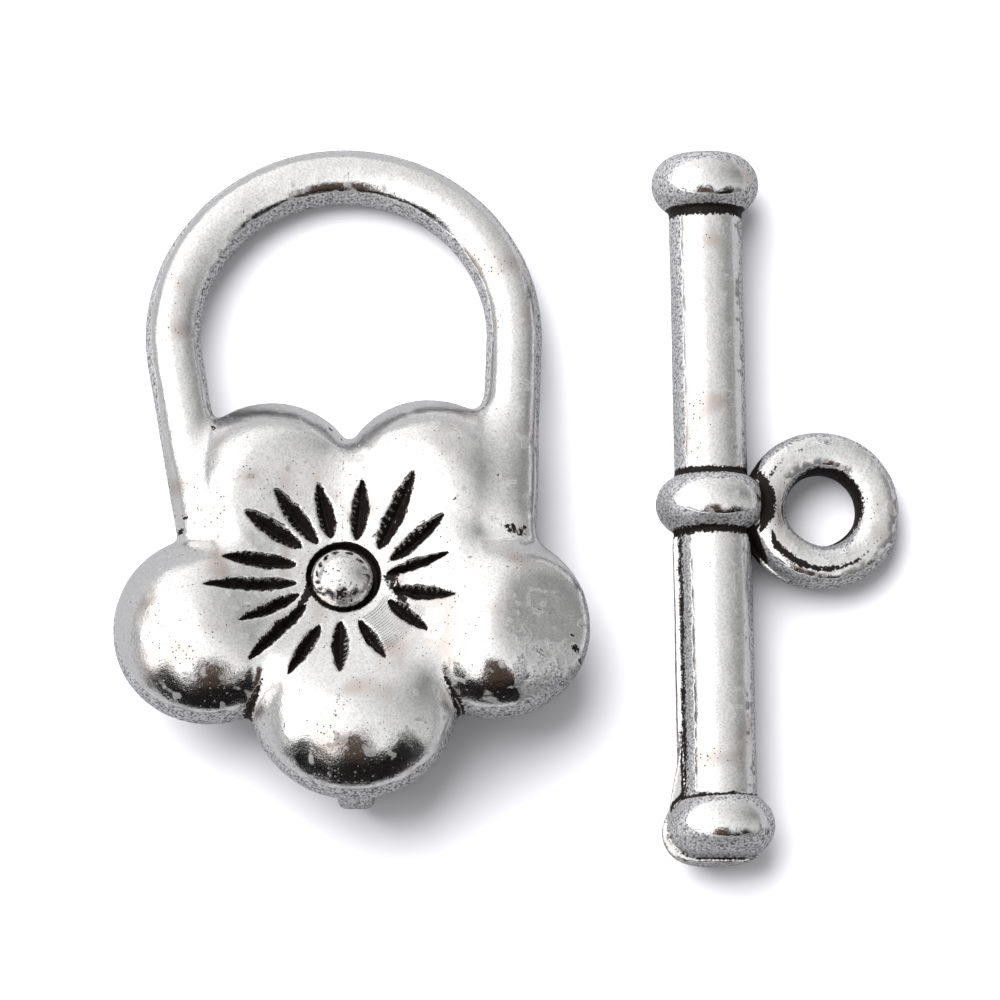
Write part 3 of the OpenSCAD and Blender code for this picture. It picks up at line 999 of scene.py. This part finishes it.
def make_floor():
    mesh = bpy.data.meshes.new("floor")
    corners = [(FLOOR_HALF * x, FLOOR_HALF * y, 0) for x, y in ((-1, -1), (1, -1), (1, 1), (-1, 1))]
    mesh.from_pydata(corners, [], [(0, 1, 2, 3)])
    material = bpy.data.materials.new("floor_white")
    material.use_nodes = True
    n = Nodes(material.node_tree)
    # The picture shows the table overexposed
    mirrored = n.add("ShaderNodeLightPath").outputs["Is Glossy Ray"]
    colour = n.mix(mirrored, FLOOR_COLOUR, MIRRORED_FLOOR)
    matt = {"Base Color": colour, "Roughness": 0.9, "Specular IOR Level": 0.0}
    shader = n.add("ShaderNodeBsdfPrincipled", matt)
    n.add("ShaderNodeOutputMaterial", {0: shader.outputs[0]})
    mesh.materials.append(material)
    floor = bpy.data.objects.new("floor", mesh)
    bpy.context.scene.collection.objects.link(floor)


def make_tent():
    """White cloth all round, brightest on the left, darkest low on the right, and a black room in front."""
    world = bpy.data.worlds.new("studio")
    bpy.context.scene.world = world
    world.use_nodes = True
    n = Nodes(world.node_tree)
    direction = n.add("ShaderNodeTexCoord").outputs["Generated"]
    x, y, z = n.add("ShaderNodeSeparateXYZ", {0: direction}).outputs
    dark_side = n.add("ShaderNodeVectorMath", {0: direction, 1: DARK_SIDE}, operation="DOT_PRODUCT")
    turn = n.math("ARCCOSINE", dark_side.outputs["Value"])
    level = n.math("ADD", DARK_LEVEL, n.math("MULTIPLY", turn, LEVEL_PER_RADIAN))
    soft_box = n.product(n.ramp(x, -0.05, -0.14), n.ramp(z, 0.25, 0.4), n.ramp(y, 0.75, 0.45))
    level = n.math("ADD", level, n.math("MULTIPLY", soft_box, SOFT_BOX_LEVEL))

    # The cloth on the left ends above the table
    hem = n.product(n.ramp(x, -0.6, -0.85), n.ramp(z, 0.3, 0.18), n.ramp(z, -0.05, 0.0))
    level = n.blend(hem, level, HEM_LEVEL)
    horizon = n.product(n.ramp(z, 0.08, 0.03), n.ramp(z, -0.05, -0.02), HORIZON_SHARE)
    level = n.blend(horizon, level, HORIZON_LEVEL)
    grey = n.add("ShaderNodeCombineColor", {0: level, 1: level, 2: level}).outputs[0]

    # The room in front of the table, and the brown column that the camera and its user make
    above = n.ramp(z, -0.06, 0.0)
    front = n.math("MAXIMUM", n.math("MULTIPLY", y, -1.0), 0.01)
    sideways = n.math("DIVIDE", x, front)
    room = n.product(n.ramp(sideways, -2.3, -1.5), n.ramp(sideways, 2.3, 1.5))
    room = n.product(room, n.ramp(z, 0.6, 0.5), n.ramp(front, 0.05, 0.2), above)
    column = n.product(n.ramp(sideways, -0.5, -0.3), n.ramp(sideways, 0.6, 0.4))
    column = n.product(column, n.ramp(z, 0.9, 0.84), n.ramp(front, 0.2, 0.4), above)
    tent = n.mix(column, grey, COLUMN_COLOUR)
    tent = n.mix(room, tent, ROOM_COLOUR)
    seen = n.add("ShaderNodeLightPath").outputs["Is Camera Ray"]
    colour = n.mix(seen, tent, (1, 1, 1, 1))
    shader = n.add("ShaderNodeBackground", {"Color": colour, "Strength": 1.0})
    n.add("ShaderNodeOutputWorld", {0: shader.outputs[0]})


def make_key():
    """A soft lamp behind the tent's upper left, which draws the shadows and isn't mirrored by the metal."""
    lamp = bpy.data.lights.new("key", "AREA")
    lamp.shape = "DISK"
    lamp.size = KEY_SIZE
    lamp.energy = KEY_POWER
    key = bpy.data.objects.new("key", lamp)
    place = Vector(KEY_WAY).normalized() * KEY_DISTANCE
    key.matrix_world = Matrix.Translation(place) @ place.to_track_quat("Z", "Y").to_matrix().to_4x4()
    key.visible_glossy = False
    bpy.context.scene.collection.objects.link(key)


make_camera()
make_floor()
make_tent()
make_key()
bpy.context.scene.view_settings.view_transform = "Standard"

flower = make_flower(antique_silver("antique_silver_flower", 0.0))
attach(flower, "root")
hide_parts("flower_loop")

bar = make_bar(antique_silver("antique_silver_bar", 37.0))
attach(bar, "root")
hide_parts("toggle_bar")
